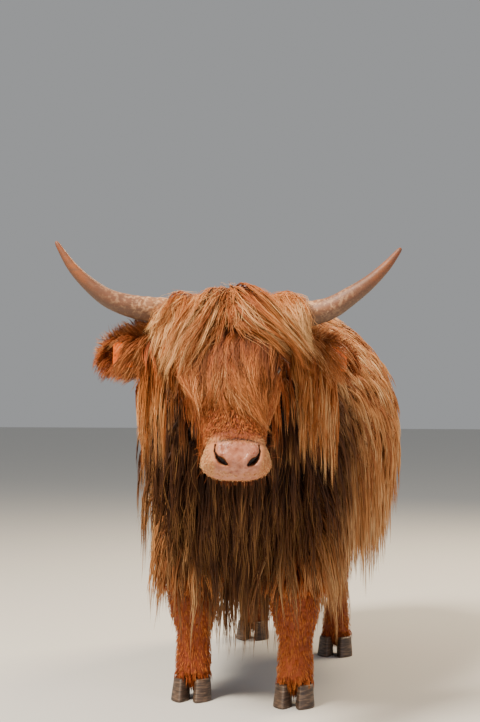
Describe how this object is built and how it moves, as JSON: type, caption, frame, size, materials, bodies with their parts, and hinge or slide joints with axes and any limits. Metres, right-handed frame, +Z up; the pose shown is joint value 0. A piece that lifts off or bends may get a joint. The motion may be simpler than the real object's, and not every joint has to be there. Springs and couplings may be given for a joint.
{
  "type": "highland cow",
  "caption": "Standing long-haired cow with a fringed face, wide upswept horns, hanging belly hair, cloven hooves and plain ear tags, life size.",
  "frame": {"origin": "middle of the bottom of the bounding box, at the level of the soles", "axes": "+Z up, the head towards -Y, the animal's own left towards +X"},
  "size_m": [0.8694, 2.014, 1.262],
  "materials": {
    "coat": "long dull ginger outer hair over soft undercoat",
    "long_hair": "long silky golden ginger hair",
    "leg_hair": "short close red-brown hair",
    "muzzle_skin": "moist pink bare skin",
    "horn": "smooth grown horn, flaky near its base",
    "hoof": "dull dark hoof horn",
    "eye": "wet and glossy",
    "ear_tag": "plain moulded orange plastic"
  },
  "bodies": {
    "root": {"chest": "coat", "barrel": "coat", "rump": "coat", "neck": "coat", "head": "coat", "lower_jaw": "coat", "tail": "coat", "forelock": "long_hair", "ear_left": "long_hair", "ear_right": "long_hair", "tail_switch": "long_hair", "fore_left_upper": "leg_hair", "fore_left_lower": "leg_hair", "fore_right_upper": "leg_hair", "fore_right_lower": "leg_hair", "hind_left_upper": "leg_hair", "hind_left_lower": "leg_hair", "hind_right_upper": "leg_hair", "hind_right_lower": "leg_hair", "muzzle": "muzzle_skin", "horn_left": "horn", "horn_right": "horn", "eye_left": "eye", "eye_right": "eye", "ear_tag_left": "ear_tag", "ear_tag_right": "ear_tag", "fore_left_claw_outer": "hoof", "fore_left_claw_inner": "hoof", "fore_left_dewclaw_outer": "hoof", "fore_left_dewclaw_inner": "hoof", "fore_right_claw_outer": "hoof", "fore_right_claw_inner": "hoof", "fore_right_dewclaw_outer": "hoof", "fore_right_dewclaw_inner": "hoof", "hind_left_claw_outer": "hoof", "hind_left_claw_inner": "hoof", "hind_left_dewclaw_outer": "hoof", "hind_left_dewclaw_inner": "hoof", "hind_right_claw_outer": "hoof", "hind_right_claw_inner": "hoof", "hind_right_dewclaw_outer": "hoof", "hind_right_dewclaw_inner": "hoof"}
  },
  "joints": []
}
